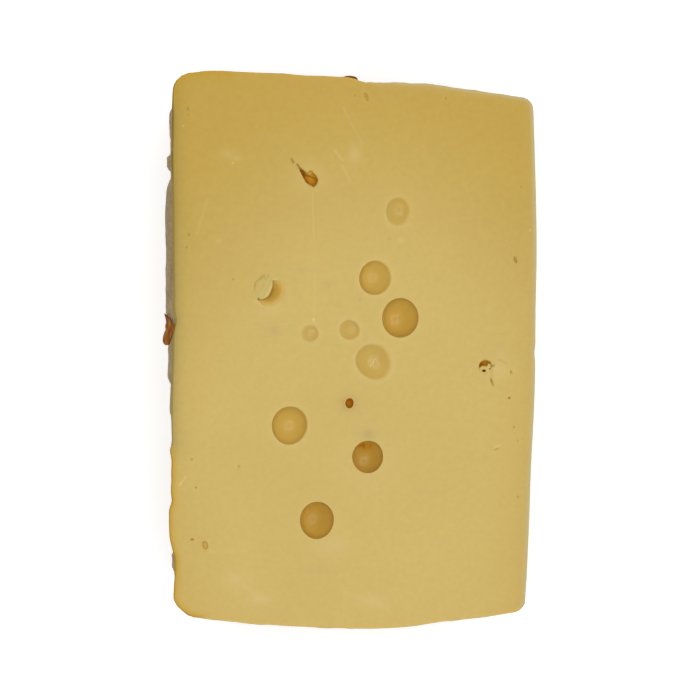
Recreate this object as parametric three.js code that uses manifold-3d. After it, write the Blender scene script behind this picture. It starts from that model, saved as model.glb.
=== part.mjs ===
// A thick slice of round-eyed mountain cheese, cut from a big wheel and lying on one of its two cut faces.
// Millimetres, +Z up. +X runs from the outer rind towards the middle of the wheel, and +Y up the wheel's height.
// One solid: the slice's body, less its eyes, pits and cracks, with the shreds of rind that cling to it.

import * as THREE from 'three';
import { mergeVertices } from 'three/addons/utils/BufferGeometryUtils.js';
import Module from 'manifold-3d';

const wasm = await Module();
wasm.setup();

// The slice: its lower cut face is level, and its upper one drops towards the middle of the wheel.
const FACE_HEIGHT = 31.5;
const FACE_SLOPE = 0.115;
const HALF_WIDTH = 36.3;
const HALF_LENGTH = 54;
const FACE_TILT = Math.atan(FACE_SLOPE);

// Corners, anticlockwise from +X +Y. The power is 2 for an ellipse, and less for a flatter, cut-off corner.
const CORNERS = [
  { x: 1, y: 1, alongX: 2.0, alongY: 2.1, power: 2 },
  { x: -1, y: 1, alongX: 3.6, alongY: 3.0, power: 2 },
  { x: -1, y: -1, alongX: 4.1, alongY: 3.3, power: 1.55 },
  { x: 1, y: -1, alongX: 2.1, alongY: 2.3, power: 2 },
];
const CORNER_STEPS = 6;
const SIDE_STEPS = [30, 52, 30, 26];

// Edges of the cut faces are slightly rounded, and the rind swells out below them on the rim.
const EDGE_ROUND = 0.7;
const RIM_SWELL_DEPTH = 5;
const LOW_RIM = { from: 6, to: 22, out: 1.6 };
const UPPER_DEPTHS = [0.7, 2.2, 4.2, 7, 11];
const LOWER_SHARES = [0.72, 0.45, 0.2];
const RIND_LUMP = 0.36;
const RIM_LUMP_SHARE = 0.3;
const RIND_BACK = 0.55;
const KNIFE_WAVE = 0.12;
const EYE_SEGMENTS = 24;
const SMALL_EYE_SEGMENTS = 14;

// Swellings of the rim's rind: place along Y, half-length, and how far it stands out past the cut edge.
const RIM_SWELLINGS = [
  { y: 45.7, width: 2.8, out: 1.65 },
  { y: 39.5, width: 7.6, out: 1.4 },
  { y: 37.9, width: 1.3, out: 2.25 },
  { y: 18.2, width: 17.4, out: 2.7 },
  { y: -1.9, width: 5.2, out: 2.15 },
  { y: -9.5, width: 4.5, out: 1.25 },
  { y: -42.2, width: 2.3, out: 1.8 },
];
const FULLEST_SWELL = 2.7;

// Round eyes cut open by the upper face: the mouth's centre and half-sizes, and the wall's angle at the mouth,
// which is small in an eye that is only grazed and past 90 degrees in one cut above its middle.
const EYES = [
  { x: 9.6, y: 27.8, rx: 2.43, ry: 2.87, wall: 48 },
  { x: 5.0, y: 14.45, rx: 3.12, ry: 3.5, wall: 72 },
  { x: 10.1, y: 6.45, rx: 3.65, ry: 3.95, wall: 94 },
  { x: -0.1, y: 4.0, rx: 2.1, ry: 2.05, wall: 50 },
  { x: 4.65, y: -2.35, rx: 3.54, ry: 3.62, wall: 52 },
  { x: -12.05, y: -15.05, rx: 3.49, ry: 3.85, wall: 76 },
  { x: -6.6, y: -34.0, rx: 3.41, ry: 3.63, wall: 98 },
  { x: 3.55, y: -21.4, rx: 3.0, ry: 3.28, wall: 108 },
  { x: -0.1, y: -10.65, rx: 0.82, ry: 0.98, wall: 112 },
  { x: -8.0, y: 3.3, rx: 1.76, ry: 1.84, wall: 42 },
];

// An eye that a torn flap of cheese still half covers, and a small eye whose roof has crumbled in.
const BROKEN_EYE = { x: -16.1, y: 11.85, rx: 2.8, ry: 2.8, wall: 88 };
const FLAP = { across: 4.4, along: 6.2, thick: 0.7, sunk: 0.25, shiftX: -1.9, shiftY: 1.1, turn: 0.95 };
const CRUMBLED_EYE = { x: 27.2, y: -3.3, rx: 1.3, ry: 1.3, wall: 105 };
const CRUMBS = [
  { x: 26.95, y: -3.95, rx: 0.85, ry: 0.7, rise: 0.9 },
  { x: 28.1, y: -3.3, rx: 0.5, ry: 0.6, rise: 0.8 },
];

// Pits: centre, half-sizes and turn. Each is about as deep as it is wide.
const PITS = [
  { x: 3.3, y: 50.7, rx: 0.35, ry: 0.85, turn: 0.3 },
  { x: 33.4, y: 18.2, rx: 0.35, ry: 0.7, turn: 0.3 },
  { x: -28.75, y: -38.75, rx: 0.6, ry: 0.9, turn: 0.2 },
  { x: -31.3, y: -37.6, rx: 0.4, ry: 0.28, turn: 0 },
  { x: 28.9, y: -3.55, rx: 0.65, ry: 0.32, turn: 0.6 },
  { x: 28.65, y: -6.5, rx: 0.3, ry: 0.95, turn: 0.35 },
  { x: -32.1, y: 47.3, rx: 0.3, ry: 0.55, turn: 0.3 },
];

// The torn crack: a hollow with a ragged mouth, and two thin slits that lead away from it.
const CRACK_MOUTH = [
  [-10.0, 35.8], [-9.4, 34.3], [-8.6, 33.2], [-7.7, 32.6], [-7.2, 32.4],
  [-6.5, 33.2], [-6.3, 34.0], [-6.7, 34.9], [-7.4, 35.4], [-8.2, 35.7],
  [-8.7, 35.3], [-9.4, 35.9],
];
const CRACK_DEPTH = 2.2;
const SLITS = [
  { from: [-10.9, 37.6], to: [-9.5, 35.6], width: 0.45 },
  { from: [-11.8, 38.4], to: [-11.1, 37.1], width: 0.25 },
];
const SLIT_DEPTH = 0.9;

// Shreds of dry rind: one curls off the rim beside a notch, a small one lies on the upper side.
const RIM_SHRED = [
  [-37.55, 7.3], [-36.9, 6.3], [-36.4, 6.5], [-35.8, 5.6], [-34.9, 4.9], [-35.3, 3.9],
  [-35.8, 2.7], [-36.1, 0.9], [-37.2, 1.1], [-37.65, 1.9], [-37.55, 2.8], [-36.9, 4.1],
  [-37.1, 4.9], [-36.95, 5.6],
];
const RIM_SHRED_LEVEL = 29.6;
const RIM_SHRED_THICK = 3.4;
const SIDE_SHRED = [[-1.3, 53.4], [1.5, 53.0], [1.55, 54.4], [1.1, 54.9], [0.0, 55.1], [-1.3, 54.9]];
const SIDE_SHRED_LEVEL = 28.8;
const SIDE_SHRED_THICK = 1.6;

const faceHeight = (x) => FACE_HEIGHT - FACE_SLOPE * x;
const bump = (v, centre, width) => Math.exp(-(((v - centre) / width) ** 2));

// The four edges of the upper face, each as a distance across that wanders a little along its length.
function rimEdge(y) {
  const long = 0.15 * bump(y, 10.5, 7) - 0.22 * bump(y, 38, 7) - 0.33 * bump(y, -14, 8);
  const notches = 0.42 * bump(y, 4.95, 1.3) + 0.38 * bump(y, -43.8, 4.6);
  const bulges = 0.2 * bump(y, 49, 2.5) + 0.45 * bump(y, -21.2, 1.3) + 0.3 * bump(y, -25, 3);
  const lobe = 0.85 * Math.exp(-(((y + 35.9) / 4) ** 6)) + 0.4 * (bump(y, -29.3, 2.3) + bump(y, -39.2, 1.1));
  return -35.15 + long + notches - bulges - lobe;
}

function innerEdge(y) {
  const below = Math.max(0, 19 - y);
  const above = Math.max(0, y - 19);
  const full = 0.18 * THREE.MathUtils.smoothstep(-y, -12, 8) + 0.12 * THREE.MathUtils.smoothstep(-y, 38, 48);
  const notches = -0.22 * bump(y, 0.4, 1.3) - 0.1 * bump(y, -25, 8);
  return 37.8 - 0.014 * below - 0.00032 * below ** 2 - 0.0006 * above ** 2 + full + notches;
}

function upperEdge(x) {
  const step = 0.85 * THREE.MathUtils.smoothstep(x, -2, 3) - 0.25 * THREE.MathUtils.smoothstep(x, 4, 9);
  const fall = 0.0021 * Math.max(0, x - 5) ** 2 + 0.014 * Math.max(0, -26 - x) ** 2;
  const bows = 0.15 * bump(x, 7, 3.5) + 0.42 * bump(x, 15.5, 5.5) + 0.15 * bump(x, 29.5, 4);
  return 55.55 - 0.034 * (x + 26) - step - fall + bows;
}

function lowerEdge(x) {
  const away = Math.abs(x - 4);
  const bows = 0.28 * bump(x, 9, 6) + 0.15 * bump(x, -19, 8) - 0.18 * bump(x, 21.5, 5);
  return -55.85 + (x > 4 ? 0.03 : 0.012) * away + (x > 4 ? 0.002 : 0.0018) * away ** 2 - bows;
}

// A point of a plain rectangle carried onto the four wandering edges.
function placeOnOutline(x, y) {
  const acrossX = (x + HALF_WIDTH) / (2 * HALF_WIDTH);
  const acrossY = (y + HALF_LENGTH) / (2 * HALF_LENGTH);
  return new THREE.Vector2(
    THREE.MathUtils.lerp(rimEdge(y), innerEdge(y), acrossX),
    THREE.MathUtils.lerp(lowerEdge(x), upperEdge(x), acrossY),
  );
}

// One corner as a quarter of a superellipse, from its +X or -X side round to the next side anticlockwise.
function cornerPoints(corner) {
  const centreX = corner.x * (HALF_WIDTH - corner.alongX);
  const centreY = corner.y * (HALF_LENGTH - corner.alongY);
  const startsOnX = corner.x === corner.y;
  const points = [];
  for (let i = 0; i <= CORNER_STEPS; i += 1) {
    const turn = (Math.PI / 2) * (i / CORNER_STEPS);
    const angle = startsOnX ? turn : Math.PI / 2 - turn;
    const x = centreX + corner.x * corner.alongX * Math.cos(angle) ** (2 / corner.power);
    const y = centreY + corner.y * corner.alongY * Math.sin(angle) ** (2 / corner.power);
    points.push([x, y]);
  }
  return points;
}

// The whole outline of the upper face, anticlockwise: each corner, then evenly spread points to the next.
function outlinePoints() {
  const points = [];
  CORNERS.forEach((corner, i) => {
    const here = cornerPoints(corner);
    const next = cornerPoints(CORNERS[(i + 1) % CORNERS.length]);
    points.push(...here);
    const [x0, y0] = here.at(-1);
    const [x1, y1] = next[0];
    for (let k = 1; k < SIDE_STEPS[i]; k += 1) {
      const share = k / SIDE_STEPS[i];
      points.push([THREE.MathUtils.lerp(x0, x1, share), THREE.MathUtils.lerp(y0, y1, share)]);
    }
  });
  return points.map(([x, y]) => placeOnOutline(x, y));
}

// Outward directions of a closed outline that runs anticlockwise.
function outwardDirections(outline) {
  return outline.map((point, i) => {
    const before = outline.at(i - 1);
    const after = outline[(i + 1) % outline.length];
    return new THREE.Vector2(after.y - before.y, before.x - after.x).normalize();
  });
}

// How far the side stands out from the upper face's edge, at a depth below it.
function standOut(point, outward, depth) {
  const onRim = THREE.MathUtils.smoothstep(-outward.x, 0.55, 0.95);
  const onRind = 1 - THREE.MathUtils.smoothstep(outward.x, 0.4, 0.9);
  let swell = 0;
  for (const { y, width, out } of RIM_SWELLINGS) {
    swell = Math.max(swell, out * Math.exp(-(((point.y - y) / width) ** 8)));
  }
  const drawnBack = RIND_BACK * (1 - onRim * swell / FULLEST_SWELL);
  swell = THREE.MathUtils.lerp(swell, LOW_RIM.out, THREE.MathUtils.smoothstep(depth, LOW_RIM.from, LOW_RIM.to));
  const along = point.x * outward.y - point.y * outward.x;
  const lump = Math.sin(0.72 * along + 1.3 * Math.sin(0.45 * depth))
    * Math.sin(0.52 * depth + 1.2 * Math.sin(0.38 * along))
    + 0.6 * Math.sin(0.31 * along - 0.36 * depth + 1.1);
  const wave = Math.sin(0.21 * along + 0.33 * depth);
  const lumpy = RIND_LUMP * THREE.MathUtils.lerp(1, RIM_LUMP_SHARE, onRim) * lump - drawnBack;
  const settle = (1 - Math.exp(-depth / 2.5)) * (1 - Math.exp(-(faceHeight(point.x) - depth) / 3));
  return onRim * swell * (1 - Math.exp(-depth / RIM_SWELL_DEPTH))
    + settle * THREE.MathUtils.lerp(KNIFE_WAVE * wave, lumpy, onRind);
}

// The body: rings of points from the upper face's edge round and down the side to the level base.
function sliceBody() {
  const outline = outlinePoints();
  const outward = outwardDirections(outline);
  const corner = EDGE_ROUND * (1 - Math.SQRT1_2);
  const ring = (inset, levelAt) => outline.map((point, i) => {
    const top = faceHeight(point.x);
    const z = levelAt(top);
    const out = standOut(point, outward[i], top - z) - inset;
    return [point.x + outward[i].x * out, point.y + outward[i].y * out, z];
  });
  const faceRing = outline.map((point, i) => {
    const x = point.x - outward[i].x * EDGE_ROUND;
    return [x, point.y - outward[i].y * EDGE_ROUND, faceHeight(x)];
  });
  const rings = [
    faceRing,
    ring(corner, (top) => top - corner),
    ...UPPER_DEPTHS.map((depth) => ring(0, (top) => top - depth)),
    ...LOWER_SHARES.map((share) => ring(0, (top) => share * (top - UPPER_DEPTHS.at(-1)))),
    ring(0, () => EDGE_ROUND),
    ring(corner, () => corner),
    ring(EDGE_ROUND, () => 0),
  ];
  return closedRings(rings);
}

// Rings joined one below the other into a closed body, with its first and last ring filled in.
function closedRings(rings) {
  const count = rings[0].length;
  const index = [];
  for (let r = 0; r + 1 < rings.length; r += 1) {
    for (let i = 0; i < count; i += 1) {
      const a = r * count + i;
      const b = r * count + ((i + 1) % count);
      index.push(a, a + count, b, b, a + count, b + count);
    }
  }
  const flat = (ring) => ring.map(([x, y]) => new THREE.Vector2(x, y));
  const lowest = (rings.length - 1) * count;
  for (const [a, b, c] of THREE.ShapeUtils.triangulateShape(flat(rings[0]), [])) {
    index.push(a, b, c);
  }
  for (const [a, b, c] of THREE.ShapeUtils.triangulateShape(flat(rings.at(-1)), [])) {
    index.push(lowest + a, lowest + c, lowest + b);
  }
  const geometry = new THREE.BufferGeometry();
  geometry.setAttribute('position', new THREE.Float32BufferAttribute(rings.flat(2), 3));
  geometry.setIndex(index);
  return geometry;
}

// A closed geometry as a solid that can be joined and cut.
function toSolid(geometry) {
  const bare = geometry.clone();
  bare.deleteAttribute('normal');
  bare.deleteAttribute('uv');
  const merged = mergeVertices(bare, 1e-4);
  return new wasm.Manifold(new wasm.Mesh({
    numProp: 3,
    vertProperties: new Float32Array(merged.attributes.position.array),
    triVerts: new Uint32Array(merged.index.array),
  }));
}

// A solid back as a geometry.
function toGeometry(solid) {
  const mesh = solid.getMesh();
  const geometry = new THREE.BufferGeometry();
  geometry.setAttribute('position', new THREE.BufferAttribute(mesh.vertProperties, 3));
  geometry.setIndex(new THREE.BufferAttribute(mesh.triVerts, 1));
  return geometry;
}

// A ball whose cut by the upper face has the given half-sizes and meets it at the given wall angle.
function eyeBall({ x, y, rx, ry, wall }, around = EYE_SEGMENTS) {
  const angle = THREE.MathUtils.degToRad(wall);
  const spread = 1 / Math.sin(angle);
  const radiusZ = spread * (rx + ry) / 2;
  const lift = radiusZ * Math.cos(angle);
  return new THREE.SphereGeometry(1, around, Math.round(around * 0.55))
    .rotateX(Math.PI / 2)
    .scale(rx * spread, ry * spread, radiusZ)
    .translate(0, 0, lift)
    .rotateY(FACE_TILT)
    .translate(x, y, faceHeight(x));
}

// A small dent in the upper face, half its ball sunk below it.
function pit({ x, y, rx, ry, turn }) {
  return new THREE.SphereGeometry(1, 10, 8)
    .rotateX(Math.PI / 2)
    .scale(rx, ry, Math.max(rx, ry))
    .rotateZ(turn)
    .translate(x, y, faceHeight(x));
}

// The leaf of cheese that hangs over the broken eye: a flat round-cornered plate just under the face.
function flapLeaf() {
  const { across, along, thick, sunk, shiftX, shiftY, turn } = FLAP;
  return new THREE.CylinderGeometry(0.5, 0.5, thick, 24)
    .rotateX(Math.PI / 2)
    .scale(across, along, 1)
    .rotateZ(-turn)
    .rotateY(FACE_TILT)
    .translate(BROKEN_EYE.x + shiftX, BROKEN_EYE.y + shiftY, 0)
    .translate(0, 0, faceHeight(BROKEN_EYE.x + shiftX) - sunk - thick / 2);
}

// The broken eye's hollow is its ball less the flap, so the flap stays part of the slice.
function brokenEye() {
  return toSolid(eyeBall(BROKEN_EYE)).subtract(toSolid(flapLeaf()));
}

// The crumbled eye's hollow is its ball less the crumbs that lie fused to its floor.
function crumbledEye() {
  let hollow = toSolid(eyeBall(CRUMBLED_EYE, SMALL_EYE_SEGMENTS));
  for (const { x, y, rx, ry, rise } of CRUMBS) {
    const crumb = new THREE.SphereGeometry(1, 8, 6)
      .rotateX(Math.PI / 2)
      .scale(rx, ry, 2)
      .translate(x, y, faceHeight(x) - 2 - (1 - rise));
    hollow = hollow.subtract(toSolid(crumb));
  }
  return hollow;
}

// A flat shape standing up from a level as a straight-sided block.
function uprightBlock(points, level, height) {
  const shape = new THREE.Shape(points.map(([x, y]) => new THREE.Vector2(x, y)));
  return new THREE.ExtrudeGeometry(shape, { depth: height, bevelEnabled: false, steps: 1 })
    .translate(0, 0, level);
}

// A narrow slit between two points of the face, widest in its middle.
function slit({ from, to, width }) {
  const start = new THREE.Vector2(...from);
  const end = new THREE.Vector2(...to);
  const across = end.clone().sub(start).normalize().rotateAround(new THREE.Vector2(), Math.PI / 2);
  const middle = start.clone().lerp(end, 0.5);
  const left = middle.clone().addScaledVector(across, width / 2);
  const right = middle.clone().addScaledVector(across, -width / 2);
  const corners = [start, right, end, left].map((point) => [point.x, point.y]);
  return uprightBlock(corners, faceHeight(middle.x) - SLIT_DEPTH, SLIT_DEPTH + 2);
}

// Everything that is missing from the slice's upper face.
function hollows() {
  const crackX = CRACK_MOUTH[0][0];
  return [
    ...EYES.map((eye) => toSolid(eyeBall(eye, eye.rx < 1.5 ? SMALL_EYE_SEGMENTS : EYE_SEGMENTS))),
    brokenEye(),
    crumbledEye(),
    ...PITS.map((place) => toSolid(pit(place))),
    toSolid(uprightBlock(CRACK_MOUTH, faceHeight(crackX) - CRACK_DEPTH, CRACK_DEPTH + 2)),
    ...SLITS.map((place) => toSolid(slit(place))),
  ];
}

// The rind shreds that stand off the side.
function shreds() {
  return [
    toSolid(uprightBlock(RIM_SHRED, RIM_SHRED_LEVEL, RIM_SHRED_THICK)),
    toSolid(uprightBlock(SIDE_SHRED, SIDE_SHRED_LEVEL, SIDE_SHRED_THICK)),
  ];
}

function cheeseMaterial() {
  return new THREE.MeshStandardMaterial({ color: 0xcfb36c, roughness: 0.5, metalness: 0 });
}

// The finished slice, with the origin on its base under the middle of its box.
function cheese() {
  let solid = toSolid(sliceBody());
  shreds().forEach((shred) => { solid = solid.add(shred); });
  hollows().forEach((hollow) => { solid = solid.subtract(hollow); });
  const geometry = toGeometry(solid);
  geometry.computeBoundingBox();
  const centre = geometry.boundingBox.getCenter(new THREE.Vector3());
  geometry.translate(-centre.x, -centre.y, 0);
  geometry.computeVertexNormals();
  const mesh = new THREE.Mesh(geometry, cheeseMaterial());
  mesh.name = 'cheese';
  return mesh;
}

const slice = new THREE.Group();
slice.add(cheese());

export default slice;
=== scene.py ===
"""A thick slice of round-eyed mountain cheese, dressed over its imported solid."""

import math
from collections import namedtuple

import bpy
import numpy as np
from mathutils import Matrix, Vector
from mathutils.geometry import delaunay_2d_cdt


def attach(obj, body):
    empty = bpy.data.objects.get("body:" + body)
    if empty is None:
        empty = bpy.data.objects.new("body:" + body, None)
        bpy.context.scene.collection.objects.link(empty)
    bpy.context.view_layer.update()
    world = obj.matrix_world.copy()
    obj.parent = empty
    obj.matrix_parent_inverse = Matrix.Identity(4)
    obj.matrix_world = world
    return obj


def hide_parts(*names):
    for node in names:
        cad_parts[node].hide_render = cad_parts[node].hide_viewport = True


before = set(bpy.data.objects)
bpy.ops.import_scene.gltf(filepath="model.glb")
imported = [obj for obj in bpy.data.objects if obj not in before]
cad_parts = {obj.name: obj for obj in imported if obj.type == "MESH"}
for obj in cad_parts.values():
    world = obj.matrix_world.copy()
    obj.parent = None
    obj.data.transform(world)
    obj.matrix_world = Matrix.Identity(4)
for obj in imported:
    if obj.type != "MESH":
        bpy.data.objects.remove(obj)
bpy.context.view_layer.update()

# ---------------------------------------------------------------------------
# The slice's outline. The wheel is pressed in a hoop, so three sides are rind, and the fourth is a knife cut.
# The upper cut face falls towards the wheel's middle. Shapes are worked out in millimetres from the point
# straight under the camera, and the meshes are written in metres.
MM = 0.001
FACE_HEIGHT = 31.5
FACE_SLOPE = 0.115
HALF_WIDTH = 36.3
HALF_LENGTH = 54.0
NET_STEP = 0.65
RIM_STEP = 0.46
# Corners anticlockwise from +X +Y: sides, length along X and along Y, and roundness (2 is an ellipse).
CORNERS = (
    (1, 1, 2.0, 2.1, 2.0),
    (-1, 1, 3.6, 3.0, 2.25),
    (-1, -1, 4.1, 3.3, 1.55),
    (1, -1, 2.1, 2.3, 2.0),
)
CORNER_STEPS = 14


def bump(v, centre, width):
    """A bell: one at the centre, falling off as e to the minus square of the distance over the width."""
    return np.exp(-(((v - centre) / width) ** 2))


def smooth(low, high, v):
    """A soft step from nought at low to one at high: three times the share squared less twice its cube."""
    share = np.clip((v - low) / (high - low), 0.0, 1.0)
    return share * share * (3.0 - 2.0 * share)


def blend(a, b, share):
    """A share of the way from a to b."""
    return a + (b - a) * share


def rim_edge(y):
    """The face's edge along the rim: a straight line less notches, lobes and long waves, each a bell."""
    long = 0.15 * bump(y, 10.5, 7) - 0.22 * bump(y, 38, 7) - 0.33 * bump(y, -14, 8)
    notches = 0.42 * bump(y, 4.95, 1.3) + 0.38 * bump(y, -43.8, 4.6)
    bulges = 0.2 * bump(y, 49, 2.5) + 0.45 * bump(y, -21.2, 1.3) + 0.3 * bump(y, -25, 3)
    lobe = 0.85 * np.exp(-(((y + 35.9) / 4) ** 6)) + 0.4 * bump(y, -29.3, 2.3) + 0.45 * bump(y, -40.7, 1.3)
    return -35.15 + long + notches - bulges - lobe


def inner_edge(y):
    """The knife-cut side: it leans in below its fullest place by a linear and a square term."""
    below = np.maximum(0, 19 - y)
    above = np.maximum(0, y - 19)
    full = 0.18 * smooth(-12, 8, -y) + 0.12 * smooth(38, 48, -y)
    notches = -0.22 * bump(y, 0.4, 1.3) - 0.1 * bump(y, -25, 8)
    return 37.8 - 0.014 * below - 0.00032 * below**2 - 0.0006 * above**2 + full + notches


def upper_edge(x):
    """The upper side: a slope with one small step, shallow bows, and square terms that round both ends."""
    step = 0.85 * smooth(-2, 3, x) - 0.25 * smooth(4, 9, x)
    fall = 0.0021 * np.maximum(0, x - 5) ** 2 + 0.014 * np.maximum(0, -26 - x) ** 2
    bows = 0.15 * bump(x, 7, 3.5) + 0.42 * bump(x, 15.5, 5.5) + 0.15 * bump(x, 29.5, 4)
    return 55.55 - 0.034 * (x + 26) - step - fall + bows


def lower_edge(x):
    """The lower side: shallow bows that meet in a blunt point a little right of the middle."""
    away = np.abs(x - 4)
    right = x > 4
    bows = 0.28 * bump(x, 9, 6) + 0.15 * bump(x, -19, 8) - 0.18 * bump(x, 21.5, 5)
    return -55.85 + np.where(right, 0.03, 0.012) * away + np.where(right, 0.002, 0.0018) * away**2 - bows


def corner_points(side_x, side_y, along_x, along_y, power):
    """A quarter of a superellipse: cosine and sine to the power of two over the roundness."""
    turn = np.linspace(0, math.pi / 2, CORNER_STEPS + 1)
    angle = turn if side_x == side_y else math.pi / 2 - turn
    x = side_x * (HALF_WIDTH - along_x + along_x * np.abs(np.cos(angle)) ** (2 / power))
    y = side_y * (HALF_LENGTH - along_y + along_y * np.abs(np.sin(angle)) ** (2 / power))
    return np.column_stack([x, y])


def outline_points():
    """A rounded rectangle run round at even steps, each point carried onto the four wandering edges."""
    corners = [corner_points(*corner) for corner in CORNERS]
    runs = []
    for here, after in zip(corners, corners[1:] + corners[:1]):
        start, end = here[-1], after[0]
        steps = int(round(np.linalg.norm(end - start) / RIM_STEP))
        share = np.linspace(0, 1, steps + 1)[1:-1, None]
        runs += [here, blend(start, end, share)]
    x, y = np.concatenate(runs).T
    across_x = (x + HALF_WIDTH) / (2 * HALF_WIDTH)
    across_y = (y + HALF_LENGTH) / (2 * HALF_LENGTH)
    return np.column_stack([
        blend(rim_edge(y), inner_edge(y), across_x),
        blend(lower_edge(x), upper_edge(x), across_y),
    ])


outline = outline_points()
tangent = np.roll(outline, -1, axis=0) - np.roll(outline, 1, axis=0)
outward = np.column_stack([tangent[:, 1], -tangent[:, 0]])
outward /= np.linalg.norm(outward, axis=1)[:, None]
rind_side = 1 - smooth(0.4, 0.9, outward[:, 0])
rim_side = smooth(0.55, 0.95, -outward[:, 0])
soft_side = np.maximum(1 - rind_side, smooth(-2, 14, outline[:, 0]) * smooth(0.5, 0.9, outward[:, 1]))

# ---------------------------------------------------------------------------
# The side: dry, brushed rind on the rim and both flat sides of the wheel, and smooth paste on the knife cut.
# The rind bellies out under the cut edge on the rim, in lumps as wide as a thumb.
RIND_EDGE_ROUND = 0.45
KNIFE_EDGE_ROUND = 0.9
RIM_SWELL_DEPTH = 5.0
# Low on the rim its swellings run together: from and to which depth, and how far the rim then stands out.
LOW_RIM = (6.0, 22.0, 1.6)
# Swellings of the rim: place along Y, half-length, and how far each stands out.
RIM_SWELLINGS = (
    (45.2, 3.4, 1.65), (39.5, 7.6, 1.4), (37.9, 1.3, 2.25), (18.2, 17.4, 2.7),
    (-1.9, 5.2, 2.15), (-9.5, 4.5, 1.25), (-42.4, 2.1, 1.65),
)
FULLEST_SWELL = 2.7
RIND_LUMP = 0.36
RIM_LUMP_SHARE = 0.3
RIND_BACK = 0.55
KNIFE_WAVE = 0.12
# The nick in the knife-cut edge runs out below it: place along Y, half-length and how deep it was.
KNIFE_NICK = (0.4, 1.3, 0.22)
UPPER_DEPTH = 12.0
# Rings round the side: over a rounded edge, in its upper part and below that.
EDGE_RINGS = 8
UPPER_RINGS = 25
LOWER_RINGS = 22


def lattice_noise(points, size, seed):
    """Smooth noise from minus one to one: random values at the corners of cubes, blended along each axis."""
    scaled = np.asarray(points, float) / size
    cell = np.floor(scaled).astype(np.int64)
    share = scaled - cell
    share = share * share * (3 - 2 * share)
    total = np.zeros(scaled.shape[:-1])
    for corner in np.ndindex(2, 2, 2):
        key = (cell + corner) @ np.array([73856093, 19349663, 83492791]) + seed * 2654435761
        key = (key ^ (key >> 13)) * 1274126177 & 0x7FFFFFFF
        value = (key ^ (key >> 16)) % 65536 / 32767.5 - 1
        weight = np.prod(np.where(np.array(corner) == 1, share, 1 - share), axis=-1)
        total += value * weight
    return total


def stand_out(depth):
    """How far the side stands out of the cut edge at each point and depth: swellings, lumps and grain."""
    x, y = outline.T[:, None, :]
    along = x * outward[:, 1] - y * outward[:, 0]
    swell = np.zeros_like(depth)
    for place, width, out in RIM_SWELLINGS:
        swell = np.maximum(swell, out * np.exp(-(((y - place) / width) ** 8)))
    drawn_back = RIND_BACK * (1 - rim_side * swell / FULLEST_SWELL)
    swell = blend(swell, LOW_RIM[2], smooth(LOW_RIM[0], LOW_RIM[1], depth))
    lump = np.sin(0.72 * along + 1.3 * np.sin(0.45 * depth))
    lump *= np.sin(0.52 * depth + 1.2 * np.sin(0.38 * along))
    lump += 0.6 * np.sin(0.31 * along - 0.36 * depth + 1.1)
    lumpy = RIND_LUMP * blend(1, RIM_LUMP_SHARE, rim_side) * lump - drawn_back
    nick_at, nick_half, nick_deep = KNIFE_NICK
    wave = KNIFE_WAVE * np.sin(0.21 * along + 0.33 * depth) + nick_deep * bump(y, nick_at, nick_half)
    place = np.stack([x + 0 * depth, y + 0 * depth, depth], axis=-1)
    grain = 0.16 * lattice_noise(place, 2.6, 3) + 0.09 * lattice_noise(place, 1.1, 4)
    level = FACE_HEIGHT - FACE_SLOPE * x - depth
    settle = (1 - np.exp(-depth / 2.5)) * (1 - np.exp(-level / 3.0))
    fine = (1 - np.exp(-depth / 0.8)) * (1 - np.exp(-level / 1.0))
    return (
        rim_side * swell * (1 - np.exp(-depth / RIM_SWELL_DEPTH))
        + settle * blend(wave, lumpy, rind_side)
        + fine * rind_side * blend(1, 0.6, rim_side) * grain
    )


# The torn flap beside the broken eye and the lifted flake near the knife-cut side: the middle of each, its
# half-sizes across and along, and the turn of its long side.
FLAP = ((-17.35, 12.35), (1.55, 2.75), math.radians(52))
FLAKE = ((29.72, -19.42), (0.38, 0.85), math.radians(24))


def own_place(x, y, middle, half, turn):
    """A point in a turned oval's own measure: across it and along it, each in shares of its half-size."""
    off_x, off_y = x - middle[0], y - middle[1]
    along = off_x * math.cos(turn) + off_y * math.sin(turn)
    across = off_x * math.sin(turn) - off_y * math.cos(turn)
    return across / half[0], along / half[1]


def on_flap(x, y):
    """One on the flap and nought round it, by the distance from its middle in shares of its size."""
    return 1 - smooth(0.9, 1.02, np.hypot(*own_place(x, y, *FLAP)))


def on_flake(x, y):
    """One on the flake and nought round it."""
    return 1 - smooth(0.7, 1.05, np.hypot(*own_place(x, y, *FLAKE)))


def flap_relief(x, y):
    """The flap is torn along its far side, where it dips, and ridged along its length."""
    across, along = own_place(x, y, *FLAP)
    ridges = 0.05 * np.sin(9 * across + 1.5 * np.sin(2.2 * along)) + 0.025 * np.sin(17 * across + 3 * along)
    ragged = np.hypot(across, along) + 0.05 * np.sin(7 * along + 2 * across)
    tear = -0.12 * bump(ragged, 0.97, 0.06) * smooth(0.2, -0.35, across)
    return on_flap(x, y) * (ridges - 0.05 + 0.08 * across) + tear


def face_level(x, y):
    """The upper cut face: a sloping plane with the faint waves that the knife leaves."""
    across = 0.8 * x + 0.6 * y
    wave = 0.035 * np.sin(across / 4.1 + 0.8 * np.sin(y / 13)) + 0.03 * np.sin(x / 9 - y / 17)
    rim = smooth(0, 4, np.minimum(37 - np.abs(x), 54 - np.abs(y)))
    return FACE_HEIGHT - FACE_SLOPE * x + wave * rim + flap_relief(x, y) + 0.12 * on_flake(x, y)


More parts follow.
